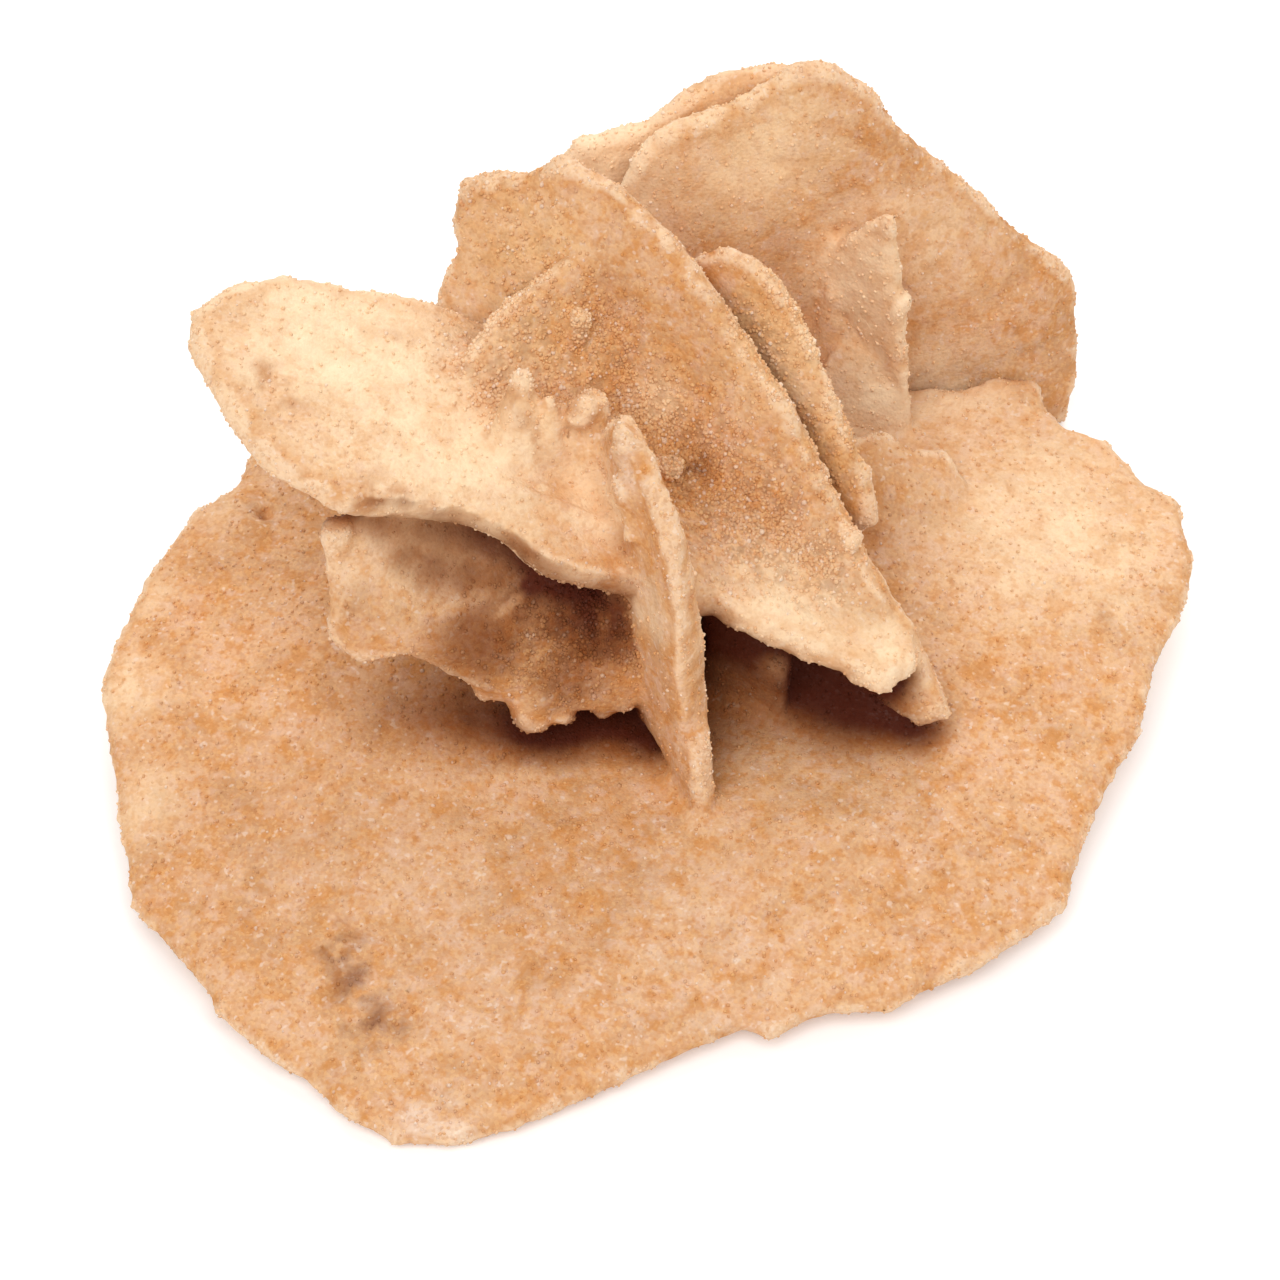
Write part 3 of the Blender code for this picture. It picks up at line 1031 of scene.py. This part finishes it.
@dataclass
class GrownCluster:
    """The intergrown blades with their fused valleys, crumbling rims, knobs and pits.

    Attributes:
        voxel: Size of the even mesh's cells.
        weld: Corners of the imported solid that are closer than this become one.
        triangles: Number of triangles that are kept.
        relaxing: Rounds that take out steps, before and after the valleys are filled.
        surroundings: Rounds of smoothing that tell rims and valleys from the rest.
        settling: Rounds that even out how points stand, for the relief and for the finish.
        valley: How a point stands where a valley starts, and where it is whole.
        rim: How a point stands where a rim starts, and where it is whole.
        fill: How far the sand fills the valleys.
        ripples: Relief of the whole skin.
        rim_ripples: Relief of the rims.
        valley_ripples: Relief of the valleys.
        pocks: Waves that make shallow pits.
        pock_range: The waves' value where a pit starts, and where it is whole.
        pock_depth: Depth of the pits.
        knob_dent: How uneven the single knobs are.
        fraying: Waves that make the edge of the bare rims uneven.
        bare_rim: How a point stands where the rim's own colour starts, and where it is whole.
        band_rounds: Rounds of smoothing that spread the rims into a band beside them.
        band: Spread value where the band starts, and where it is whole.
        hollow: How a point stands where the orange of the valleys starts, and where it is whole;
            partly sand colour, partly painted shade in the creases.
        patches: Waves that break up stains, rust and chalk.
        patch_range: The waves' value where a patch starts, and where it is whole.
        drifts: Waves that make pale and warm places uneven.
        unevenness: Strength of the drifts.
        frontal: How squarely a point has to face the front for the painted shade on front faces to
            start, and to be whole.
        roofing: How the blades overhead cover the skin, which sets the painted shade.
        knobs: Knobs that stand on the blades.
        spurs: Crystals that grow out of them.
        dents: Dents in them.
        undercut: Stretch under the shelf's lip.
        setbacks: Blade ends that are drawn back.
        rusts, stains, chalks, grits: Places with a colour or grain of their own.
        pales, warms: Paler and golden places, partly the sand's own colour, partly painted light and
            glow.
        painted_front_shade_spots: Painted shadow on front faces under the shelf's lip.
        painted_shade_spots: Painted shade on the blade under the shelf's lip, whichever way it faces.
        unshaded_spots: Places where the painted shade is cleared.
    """

    voxel: float = 0.24
    weld: float = 0.0001
    triangles: int = 196_000
    relaxing: tuple[int, int] = (6, 3)
    surroundings: int = 24
    settling: tuple[int, int] = (2, 3)
    valley: Pair = (-0.04, -0.16)
    rim: Pair = (0.06, 0.14)
    fill: float = 0.12
    ripples: tuple[Ripple, ...] = (
        Ripple(0.16, Waves(6.5, seed=11, octaves=2)),
        Ripple(0.08, Waves(2.2, seed=23, octaves=2)),
        Ripple(0.035, Knobs(0.62, seed=5), level=0.5),
        Ripple(0.035 * 0.9, Waves(0.8, seed=31)),
    )
    rim_ripples: tuple[Ripple, ...] = (
        Ripple(0.07, Waves(1.3, seed=59, octaves=2, roughness=0.7)),
        Ripple(0.10, Knobs(0.9, seed=7), level=0.6),
    )
    valley_ripples: tuple[Ripple, ...] = (Ripple(0.18, Knobs(0.75, seed=9), level=0.3),)
    pocks: Waves = Waves(1.5, seed=47)
    pock_range: Pair = (0.35, 0.75)
    pock_depth: float = 0.10
    knob_dent: float = 0.35
    fraying: Ripple = Ripple(0.03, Waves(1.1, seed=71, octaves=2))
    bare_rim: Pair = (0.09, 0.15)
    band_rounds: int = 30
    band: Pair = (0.04, 0.3)
    hollow: Pair = (-0.03, -0.12)
    patches: Waves = Waves(1.4, seed=83, octaves=3, roughness=0.6)
    patch_range: Pair = (-0.25, 0.35)
    drifts: Waves = Waves(3.0, seed=91, octaves=3, roughness=0.6)
    unevenness: float = 0.25
    frontal: Pair = (0.5, 0.85)
    roofing: Roofing = Roofing()
    knobs: tuple[Mark, ...] = marks(
        (-4.6, 2.2, 20.8, 0.8), (-2.7, 1.0, 19.6, 1.0), (-6.9, 1.4, 21.6, 0.9),
        (-3.6, 1.7, 21.6, 0.9), (-4.6, -5.5, 7.2, 0.8), (-3.7, 7.3, 22.7, 0.55),
        (10.2, -0.4, 14.5, 0.5), (9.6, 0.2, 14.9, 0.4),
    )
    spurs: tuple[Spur, ...] = (
        Spur((-0.75, -3.8, 18.2), (-1.75, -0.9, 24.3), 0.85, 0.12),
        Spur((-7.0, 1.5, 18.8), (-6.6, 2.4, 23.9), 2.1, 0.45),
        Spur((-5.3, 1.0, 18.2), (-5.2, 1.8, 22.6), 1.3, 0.35),
        Spur((-3.5, 1.0, 17.6), (-3.1, 2.6, 21.9), 1.8, 0.8),
        Spur((-6.3, -5.3, 8.4), (-6.0, -5.9, 6.4), 1.5, 0.9),
        Spur((-2.8, -4.9, 8.4), (-2.4, -5.4, 6.6), 1.2, 0.6),
        Spur((-8.4, -5.0, 9.8), (-8.2, -5.5, 8.1), 1.3, 0.8),
        Spur((-15.5, -4.5, 14.6), (-15.9, -4.0, 19.0), 0.9, 0.9),
        Spur((0.3, 2.6, 16.0), (1.0, 1.9, 17.6), 0.9, 0.6),
        Spur((9.6, 18.6, 8.0), (9.9, 18.9, 13.6), 2.0, 0.8),
    )
    dents: tuple[Mark, ...] = marks(
        (-20.7, 9.8, 5.6, 0.9, -0.55), (-19.5, 1.4, 23.6, 1.6, -0.35),
        (-18.2, 0.2, 22.8, 1.2, -0.3), (-5.4, -2.2, 19.1, 1.3, -0.4),
    )
    undercut: Undercut = Undercut(
        lip=(
            (-14.2, 19.9, 0.0), (-13.0, 19.7, 0.3), (-12.0, 19.3, 0.7), (-11.0, 19.0, 1.0),
            (-10.0, 18.6, 1.2), (-9.0, 18.2, 1.3), (-8.0, 17.8, 1.35), (-7.0, 17.3, 1.4),
            (-6.0, 16.9, 1.4), (-5.0, 16.4, 1.4), (-4.0, 16.0, 1.4), (-3.0, 15.6, 1.3),
            (-2.2, 15.2, 0.0),
        )
    )
    setbacks: tuple[Setback, ...] = (
        Setback(
            course=((1.2, 0.0), (3.0, 1.5), (9.5, 1.5), (11.0, 0.9), (13.0, 0.4), (14.0, 0.0)),
            reach=(-1.5, -6.0),
            floor=(8.0, 9.6),
        ),
        Setback(
            course=(
                (-18.0, 0.0), (-15.5, 0.5), (-13.6, 0.9), (-10.4, 0.9), (-8.5, 1.2), (-7.0, 1.3),
                (-5.2, 0.4), (-3.8, 0.0),
            ),
            reach=(1.0, -4.0),
            floor=(14.0, 17.5),
        ),
    )
    rusts: tuple[Mark, ...] = marks(
        (-19.5, 1.5, 23.8, 2.0, 1.2), (-18.4, 0.2, 23.0, 1.6, 1.0), (-14.0, -4.0, 21.3, 2.2, 1.2),
        (-12.4, -3.9, 20.8, 2.2, 1.2), (-10.8, -3.9, 19.9, 1.8, 0.9), (-6.0, -4.6, 17.9, 1.4, 0.9),
        (-14.0, -22.9, 2.5, 1.3, 1.0), (-8.0, 1.5, 20.3, 0.9, 1.0), (-5.0, 2.2, 20.6, 0.9, 1.0),
        (-4.9, 0.6, 19.4, 1.3, 0.5), (-12.9, 6.2, 22.3, 1.6, 0.5), (-8.2, 3.4, 21.2, 1.8, 0.7),
        (1.9, 2.9, 16.1, 2.6, 1.0), (-2.5, 8.8, 23.2, 2.6, 0.5), (-5.6, 1.8, 21.0, 2.4, 0.5),
        (-6.4, 1.9, 22.4, 2.2, 0.9), (-3.6, 1.7, 21.8, 2.0, 0.8), (-5.9, 0.9, 20.6, 0.8, 1.1),
    )
    stains: tuple[Mark, ...] = marks(
        (-15.8, -18.0, 3.0, 2.4, 0.9), (-14.9, -20.1, 2.8, 2.6, 1.0), (-14.0, -22.3, 2.6, 2.6, 1.0),
        (-12.6, -22.6, 2.6, 1.8, 0.7), (-21.0, -8.5, 3.3, 3.0, 0.25), (1.9, 2.9, 16.1, 1.6, 0.8),
        (-0.9, 5.5, 19.2, 1.6, 0.3), (13.3, -16.0, 3.2, 2.0, 0.4), (14.7, -10.6, 3.6, 6.5, 0.2),
        (23.5, 2.7, 4.9, 1.6, 0.5), (-20.7, 9.8, 5.6, 1.3, 1.0),
    )
    chalks: tuple[Mark, ...] = marks(
        (0.8, -15.5, 3.5, 4.0, 0.5), (-1.6, -13.6, 3.8, 2.6, 0.5), (2.0, -19.0, 3.0, 9.0, 0.45),
        (-9.0, -19.0, 3.0, 9.0, 0.45), (-17.0, -12.0, 3.2, 7.0, 0.3), (-10.8, -27.6, 1.8, 3.2, 1.0),
        (-14.6, -21.4, 2.7, 1.2, 0.6), (-14.4, -18.4, 3.0, 1.2, 0.5), (-20.5, -14.0, 3.0, 2.2, 0.5),
        (-1.4, -3.0, 22.3, 2.4, 0.7),
    )
    # Pale places: partly paler, bleached sand, partly painted light where blades catch more light
    # than the lamps give them.
    pale_and_lit_spots: tuple[Mark, ...] = marks(
        (-15.9, 5.6, 23.3, 13.0, 1.0), (-9.8, -0.6, 20.4, 10.0, 1.0), (7.4, -4.2, 13.0, 8.0, 0.8),
        (12.0, -5.4, 11.0, 5.0, 0.8), (21.0, 9.5, 5.8, 11.0, 0.7), (-1.7, 21.1, 20.7, 7.0, 1.0),
        (12.0, 17.0, 15.5, 7.0, 1.0), (5.1, 20.0, 21.9, 7.0, 0.7), (16.5, 18.5, 15.0, 7.0, 0.6),
        (11.8, 15.5, 8.6, 6.0, 0.9), (16.0, 17.7, 6.5, 5.0, 0.8), (7.0, 6.8, 20.0, 5.0, 0.5),
        (-3.0, -1.6, 18.6, 3.6, 0.9), (-16.0, -4.6, 16.6, 2.6, 0.5), (-27.2, 5.3, 3.6, 4.0, 0.6),
        (-27.3, -1.5, 3.4, 4.0, 0.6), (-26.5, -9.0, 3.2, 4.0, 0.5), (-23.8, 10.5, 4.0, 3.5, 0.4),
        (0.3, 5.5, 18.6, 2.6, 0.7), (-0.2, -5.5, 15.0, 3.2, 0.7), (-6.8, 11.3, 23.6, 6.0, 0.3),
    )
    grits: tuple[Mark, ...] = marks(
        (1.0, 3.2, 17.5, 6.0, 0.85), (4.5, 1.0, 14.8, 6.0, 1.0), (8.0, -1.0, 12.8, 4.0, 0.8),
        (-3.0, 6.5, 21.0, 5.0, 0.7), (-4.5, -5.0, 11.5, 5.0, 0.8), (-7.0, 6.2, 22.3, 6.0, 0.6),
        (-7.0, 12.0, 24.5, 5.0, 0.35), (6.5, 7.3, 21.2, 5.0, 0.5), (8.6, 4.3, 16.2, 4.0, 0.5),
    )
    # Golden places: partly the sand's own golden colour, partly painted glow of thin blades that
    # light shines through.
    golden_and_glowing_spots: tuple[Mark, ...] = marks(
        (6.5, 7.3, 21.2, 5.0, 0.8), (8.6, 4.3, 16.2, 4.0, 0.7), (0.0, 4.0, 18.0, 7.0, 0.5),
        (-4.0, 6.2, 22.0, 4.5, 0.6), (-6.8, 11.3, 23.6, 5.0, 0.9), (5.1, 20.0, 21.9, 7.0, 0.5),
        (-6.4, 2.6, 21.4, 2.6, 0.8),
    )
    # Painted shadow on the front faces under the shelf's lip.
    painted_front_shade_spots: tuple[Mark, ...] = marks(
        (-6.7, -3.2, 15.0, 6.0, 0.62), (-3.0, -3.6, 12.8, 6.0, 0.64),
        (-10.5, -3.6, 16.8, 5.0, 0.52), (-8.8, -4.9, 12.6, 5.5, 0.46),
        (-4.4, -5.3, 10.0, 4.5, 0.38), (-15.2, -5.4, 15.5, 4.5, 0.2), (-9.8, -2.9, 16.2, 3.0, 0.6),
        (-7.8, -3.1, 15.4, 3.0, 0.8), (-6.3, -3.4, 14.6, 2.6, 0.8), (-12.3, -4.2, 15.4, 4.0, 0.25),
        (-13.6, -3.8, 21.2, 1.7, 0.4), (-12.2, -3.8, 20.8, 1.7, 0.45),
        (-10.9, -3.9, 20.0, 1.3, 0.38), (-10.7, -4.0, 19.4, 1.1, 0.3),
        (-9.2, -4.1, 18.5, 1.0, 0.28), (-7.7, -4.5, 18.0, 0.9, 0.24),
    )
    # Painted shade on the blade under the shelf's lip, whichever way it faces.
    painted_shade_spots: tuple[Mark, ...] = marks(
        (-12.4, -3.5, 16.8, 2.6, 0.42), (-11.0, -3.5, 15.9, 3.0, 0.46),
        (-9.4, -3.4, 15.3, 3.0, 0.48), (-7.8, -3.3, 14.9, 3.0, 0.46),
    )
    # Places where the painted shade is cleared.
    unshaded_spots: tuple[Mark, ...] = marks(
        (13.0, 16.0, 8.0, 8.0, 0.9), (13.1, 5.1, 5.8, 6.0, 0.7), (-3.0, -1.6, 18.8, 4.0, 0.8),
        (-16.0, -4.4, 17.8, 3.0, 0.8), (6.3, -3.7, 8.4, 1.7, 0.4),
    )

    def shell(self) -> bpy.types.Mesh:
        """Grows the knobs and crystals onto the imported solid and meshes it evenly.

        Returns:
            The mesh, in metres.
        """
        shape = bmesh.new()
        shape.from_mesh(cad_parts[NODE].data)
        bmesh.ops.remove_doubles(shape, verts=shape.verts, dist=self.weld * MM)
        for knob in self.knobs:
            made = bmesh.ops.create_icosphere(shape, subdivisions=2, radius=knob.reach * MM)
            for vert in made["verts"]:
                spot = vert.co / MM
                vert.co *= 1.0 + self.knob_dent * noise.noise(spot + Vector(knob.place))
                vert.co += Vector(knob.place) * MM
        for spur in self.spurs:
            spur.grow(shape)
        guide = placed("rose_shell", meshed("rose_shell", shape))
        remesh = guide.modifiers.new("even", "REMESH")
        remesh.mode = "VOXEL"
        remesh.voxel_size = self.voxel * MM
        even = evaluated(guide)
        bpy.data.objects.remove(guide)
        return even

    def weather(self, skin: Surface) -> None:
        """Gives the skin its fused valleys, waves, dimples, grit, dents and crumbling rims.

        Args:
            skin: The surface, which is changed.
        """
        skin.relax(self.relaxing[0])
        stand = skin.averaged(skin.standing(self.surroundings), self.settling[0])
        valley = ease(stand, *self.valley)
        skin.points += skin.normals() * (valley * self.fill)[:, None]
        skin.relax(self.relaxing[1])
        spots = skin.points
        rim = ease(stand, *self.rim)
        lift = sum(ripple.lift(spots) for ripple in self.ripples)
        lift -= self.pock_depth * ease(self.pocks.at(spots), *self.pock_range) * (1.0 - rim)
        for ripples, share in ((self.rim_ripples, rim), (self.valley_ripples, valley)):
            for ripple in ripples:
                lift += ripple.lift(spots, share)
        deepest = np.zeros(len(spots))
        for dent in self.dents:
            deepest = np.minimum(deepest, dent.share(spots))
        lift += deepest
        normals = skin.normals()
        skin.points = spots + normals * lift[:, None]
        skin.points[:, 1] += self.undercut.depth(spots, normals)
        for setback in self.setbacks:
            skin.points[:, 1] += setback.depth(spots)

    def measures(self, skin: Surface) -> dict[str, np.ndarray]:
        """Measures what the finish depends on.

        Args:
            skin: The finished surface.

        Returns:
            Values from 0 to 1 at each point, by name.
        """
        spots = skin.points
        stand = skin.averaged(skin.standing(self.surroundings), self.settling[1])
        rim = ease(stand + self.fraying.lift(spots), *self.bare_rim)
        wide = skin.averaged(rim, self.band_rounds)
        found = {
            "rim": rim,
            "band": np.clip(ease(wide, *self.band) - rim, 0.0, 1.0),
            "hollow": ease(stand, *self.hollow),
            # Painted shade: how far the blades overhead cover each point.
            "painted_shade": self.roofing.over(skin),
        }
        even = np.ones(len(spots))
        patchy = ease(self.patches.at(spots), *self.patch_range)
        soft = 1.0 - self.unevenness + self.unevenness * self.drifts.at(spots)
        # Share of the painted shadow on faces that look to the front.
        fronts = ease(-skin.normals()[:, 1], *self.frontal)
        places = {
            "stain": (self.stains, patchy),
            "rust": (self.rusts, patchy),
            "chalk": (self.chalks, patchy),
            # Pale and warm places: partly the sand's own colour, partly painted light and glow.
            "pale": (self.pale_and_lit_spots, soft),
            "warm": (self.golden_and_glowing_spots, soft),
            "grit": (self.grits, even),
            # Painted shadow on front faces under the shelf's lip.
            "painted_shade": (self.painted_front_shade_spots, fronts),
        }
        for name, (here, share) in places.items():
            felt = found.get(name, np.zeros(len(spots)))
            for mark in here:
                felt = np.maximum(felt, mark.share(spots) * share)
            found[name] = np.clip(felt, 0.0, 1.0)
        # Painted shade under the lip, whichever way the skin faces.
        for mark in self.painted_shade_spots:
            found["painted_shade"] = np.maximum(found["painted_shade"], mark.share(spots))
        # Clears the painted shade at these places.
        for mark in self.unshaded_spots:
            found["painted_shade"] *= 1.0 - mark.share(spots)
        return found

    def drop_flaps(self, mesh: bpy.types.Mesh) -> None:
        """Takes out the pairs of faces that lie back to back on the same corners.

        Args:
            mesh: The mesh, which is changed.
        """
        shape = bmesh.new()
        shape.from_mesh(mesh)
        seen: dict[frozenset[int], list[bmesh.types.BMFace]] = {}
        for face in shape.faces:
            seen.setdefault(frozenset(vert.index for vert in face.verts), []).append(face)
        flaps = [face for faces in seen.values() if len(faces) > 1 for face in faces]
        bmesh.ops.delete(shape, geom=flaps, context="FACES")
        shape.to_mesh(mesh)
        shape.free()

    def build(self, finish: SandySkin) -> bpy.types.Object:
        """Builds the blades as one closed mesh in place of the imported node.

        Args:
            finish: What the blades are made of.

        Returns:
            The piece.
        """
        even = self.shell()
        skin = Surface.of(even)
        self.weather(skin)
        even.vertices.foreach_set("co", (skin.points * MM).astype(np.float32).ravel())
        for name, values in self.measures(skin).items():
            hold(even, name, values)
        guide = placed("rose_blades", even)
        thin = guide.modifiers.new("thin", "DECIMATE")
        thin.ratio = self.triangles / (2.0 * len(even.polygons))
        thin.use_collapse_triangulate = True
        mesh = evaluated(guide)
        guide.modifiers.clear()
        self.drop_flaps(mesh)
        guide.data = mesh
        mesh.name = "rose_blades"
        mesh.shade_smooth()
        mesh.materials.clear()
        mesh.materials.append(finish.make("sandy_skin"))
        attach(guide, BODY)
        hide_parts(NODE)
        return guide


@dataclass
class SandGrains:
    """Grains of sand that lie on the skin, joined into one mesh.

    Attributes:
        name: Name of the piece.
        smallest: Smallest mean diameter.
        largest: Largest mean diameter.
        seed: Choice among different scatters.
        count: Number of grains.
        on_rims: How much denser they lie on rims.
        in_hollows: How much denser they lie in valleys.
        upward: Share that upward faces get before the others.
        tilt: How far faces may turn down before they get nothing of that share.
        sunk: Share of the radius that is inside the skin.
        near: Marks that they keep to, if there are any.
        stretch: The least and the most that a grain is stretched along an axis.
        dent: How uneven a grain is.
    """

    name: str
    smallest: float
    largest: float
    seed: int
    count: int = 9800
    on_rims: float = 1.0
    in_hollows: float = 1.0
    upward: float = 0.0
    tilt: float = 0.3
    sunk: float = 0.45
    near: tuple[Mark, ...] = ()
    stretch: Pair = (0.72, 1.22)
    dent: float = 0.16

    def shapes(
        self, rng: np.random.Generator, radii: np.ndarray
    ) -> tuple[np.ndarray, np.ndarray]:
        """Forms the single grains.

        Args:
            rng: Where the random numbers come from.
            radii: Mean radius of each grain.

        Returns:
            The points of each grain about its middle, and the corners of a grain's faces.
        """
        ball = bmesh.new()
        bmesh.ops.create_icosphere(ball, subdivisions=1, radius=1.0)
        knots = np.array([vert.co[:] for vert in ball.verts])
        sides = np.array([[vert.index for vert in face.verts] for face in ball.faces])
        ball.free()
        stretch = rng.uniform(*self.stretch, (self.count, 1, 3))
        dents = rng.uniform(-self.dent, self.dent, (self.count, len(knots), 1))
        turn = np.linalg.qr(rng.normal(size=(self.count, 3, 3)))[0]
        turn *= np.linalg.det(turn)[:, None, None]
        shaped = knots[None] * (1.0 + dents) * stretch
        return np.einsum("nij,nkj->nki", turn, shaped) * radii[:, None, None], sides

    def joined(self, points: np.ndarray, sides: np.ndarray) -> bpy.types.Mesh:
        """Joins the grains into one mesh.

        Args:
            points: The points of each grain.
            sides: The corners of a grain's faces.

        Returns:
            The mesh, in metres.
        """
        first = np.arange(self.count) * points.shape[1]
        corners = (sides[None] + first[:, None, None]).astype(np.int32).ravel()
        mesh = bpy.data.meshes.new(self.name)
        mesh.vertices.add(self.count * points.shape[1])
        mesh.vertices.foreach_set("co", (points * MM).astype(np.float32).ravel())
        mesh.loops.add(len(corners))
        mesh.loops.foreach_set("vertex_index", corners)
        mesh.polygons.add(len(corners) // 3)
        mesh.polygons.foreach_set("loop_start", np.arange(0, len(corners), 3, dtype=np.int32))
        mesh.update(calc_edges=True)
        return mesh

    def build(self, blades: bpy.types.Object, material: bpy.types.Material) -> bpy.types.Object:
        """Builds the grains.

        Args:
            blades: The piece that they lie on.
            material: Their material.

        Returns:
            The piece.
        """
        rng = np.random.default_rng(self.seed)
        mesh = blades.data
        skin = Surface.of(mesh)
        carried = {}
        for name in MEASURES:
            values = np.empty(len(mesh.vertices), np.float32)
            mesh.attributes[name].data.foreach_get("value", values)
            carried[name] = values
        corner = skin.points[skin.faces]
        across = np.cross(corner[:, 1] - corner[:, 0], corner[:, 2] - corner[:, 0])
        area = np.linalg.norm(across, axis=1)
        facing = across / np.maximum(area, TINY)[:, None]
        wish = area * (1.0 + self.on_rims * carried["rim"][skin.faces].mean(1))
        wish *= 1.0 + self.in_hollows * carried["hollow"][skin.faces].mean(1)
        wish *= 1.0 - self.upward + self.upward * np.clip(facing[:, 2] + self.tilt, 0.0, 1.0)
        if self.near:
            middle = corner.mean(1)
            wish *= sum(mark.share(middle) for mark in self.near)
        chosen = rng.choice(len(area), self.count, p=wish / wish.sum())
        shares = rng.dirichlet((1.0, 1.0, 1.0), self.count)
        places = (corner[chosen] * shares[:, :, None]).sum(1)
        radii = 0.5 * self.smallest * (self.largest / self.smallest) ** rng.random(self.count)
        places += facing[chosen] * (radii * (1.0 - 2.0 * self.sunk))[:, None]

        points, sides = self.shapes(rng, radii)
        grains = self.joined(points + places[:, None, :], sides)
        layers = {}
        for name, values in carried.items():
            layers[name] = (values[skin.faces[chosen]] * shares).sum(1)
        layers["shade"] = rng.random(self.count)
        layers["tone"] = rng.random(self.count)
        for name, values in layers.items():
            hold(grains, name, np.repeat(values, points.shape[1]))
        grains.materials.append(material)
        piece = placed(self.name, grains)
        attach(piece, BODY)
        return piece


# --------------------------------------------------------------------------------------
# The studio
# --------------------------------------------------------------------------------------


@dataclass(frozen=True)
class Lamp:
    """A broad soft light from far off.

    Attributes:
        name: Name of the light.
        height: Its height over the table in degrees.
        heading: Where it stands, in degrees about the upright from +X.
        power: Its strength in watts a square metre.
        spread: How wide it looks, in degrees.
    """

    name: str
    height: float
    heading: float
    power: float
    spread: float = 60.0

    def hang(self) -> None:
        """Puts the light in the scene."""
        light = bpy.data.lights.new(self.name, "SUN")
        light.angle = radians(self.spread)
        light.energy = self.power
        holder = placed(self.name, light)
        holder.rotation_euler = (radians(90.0 - self.height), 0.0, radians(self.heading + 90.0))


@dataclass
class Studio:
    """A white table in soft even light, and the camera.

    Attributes:
        table_size: Width of the table.
        table_drop: How far its top is below the rose's lowest point.
        table_colour: Its colour.
        table_roughness: How dull it is.
        table_glow: Strength of its own light.
        room_light: Strength of the light that the white room gives.
        eye: Where the camera stands.
        dip: How far it looks down, in degrees.
        lens: Its focal length.
        sensor: Width of its sensor.
        near: Distance from which it sees.
        lamps: The lights.
    """

    table_size: float = 2400.0
    table_drop: float = 0.02
    table_colour: Colour = (0.9, 0.9, 0.9)
    table_roughness: float = 0.9
    table_glow: float = 0.15
    room_light: float = 0.12
    eye: Spot = (-0.68, -204.16, 233.10)
    dip: float = 48.0
    lens: float = 164.53
    sensor: float = 36.0
    near: float = 10.0
    lamps: tuple[Lamp, ...] = (
        Lamp("front_light", height=58.0, heading=-93.0, power=2.3),
        Lamp("left_light", height=38.0, heading=205.0, power=0.6),
        Lamp("right_light", height=32.0, heading=15.0, power=0.6),
        Lamp("back_light", height=36.0, heading=85.0, power=1.8),
    )

    def room(self) -> None:
        """Makes the white room, which looks brighter than the light that it gives."""
        world = bpy.data.worlds.new("soft_room")
        world.use_nodes = True
        shading = Shading(world.node_tree)
        seen = Value(world.node_tree, shading.node("ShaderNodeLightPath").outputs["Is Camera Ray"])
        strength = self.room_light + (1.0 - self.room_light) * seen
        sky = world.node_tree.nodes["Background"]
        shading.feed(sky.inputs["Color"], WHITE)
        shading.feed(sky.inputs["Strength"], strength)
        bpy.context.scene.world = world

    def table(self) -> None:
        """Lays the white table top, which glows a little as a light table does."""
        shape = bmesh.new()
        bmesh.ops.create_grid(shape, x_segments=1, y_segments=1, size=0.5 * self.table_size * MM)
        mesh = meshed("table_top", shape)
        finish = Finish("white_table")
        finish.dress("Base Color", self.table_colour)
        finish.dress("Roughness", self.table_roughness)
        finish.dress("Emission Color", WHITE)
        finish.dress("Emission Strength", self.table_glow)
        mesh.materials.append(finish.material)
        top = placed("table_top", mesh)
        top.location.z = -self.table_drop * MM

    def camera(self) -> None:
        """Stands the camera in its place."""
        data = bpy.data.cameras.new("camera")
        data.sensor_width = self.sensor
        data.lens = self.lens
        data.clip_start = self.near * MM
        holder = placed("camera", data)
        holder.location = Vector(self.eye) * MM
        holder.rotation_euler = (radians(90.0 - self.dip), 0.0, 0.0)
        bpy.context.scene.camera = holder

    def build(self) -> None:
        """Sets up the table, the light and the camera."""
        bpy.context.scene.view_settings.view_transform = "Standard"
        self.room()
        self.table()
        for lamp in self.lamps:
            lamp.hang()
        self.camera()


def write_sizes() -> None:
    """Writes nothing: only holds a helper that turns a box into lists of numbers.
    """

    def plain(box: object) -> list[list[float]]:
        """Returns a box as lists of numbers."""
        return [[float(number) for number in corner] for corner in box]


def main() -> None:
    """Builds the rose and its studio."""
    logging.basicConfig(level=logging.INFO, format="%(name)s: %(message)s")
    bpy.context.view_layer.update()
    cluster = GrownCluster()
    blades = cluster.build(SandySkin())
    log.info("%s: %d faces", blades.name, len(blades.data.polygons))
    grain_finish = LooseGrainFinish().make("loose_grain")
    scatters = (
        SandGrains("fine_sand", 0.13, 0.24, seed=1, upward=0.6),
        SandGrains(
            "rim_sand", 0.13, 0.24, seed=2, on_rims=6.0, in_hollows=0.5, upward=0.3, sunk=0.55
        ),
        SandGrains("valley_sand", 0.16, 0.30, seed=3, in_hollows=6.0, near=cluster.grits),
    )
    for scatter in scatters:
        piece = scatter.build(blades, grain_finish)
        log.info("%s: %d faces", piece.name, len(piece.data.polygons))
    Studio().build()
    write_sizes()


if __name__ == "__main__":
    main()
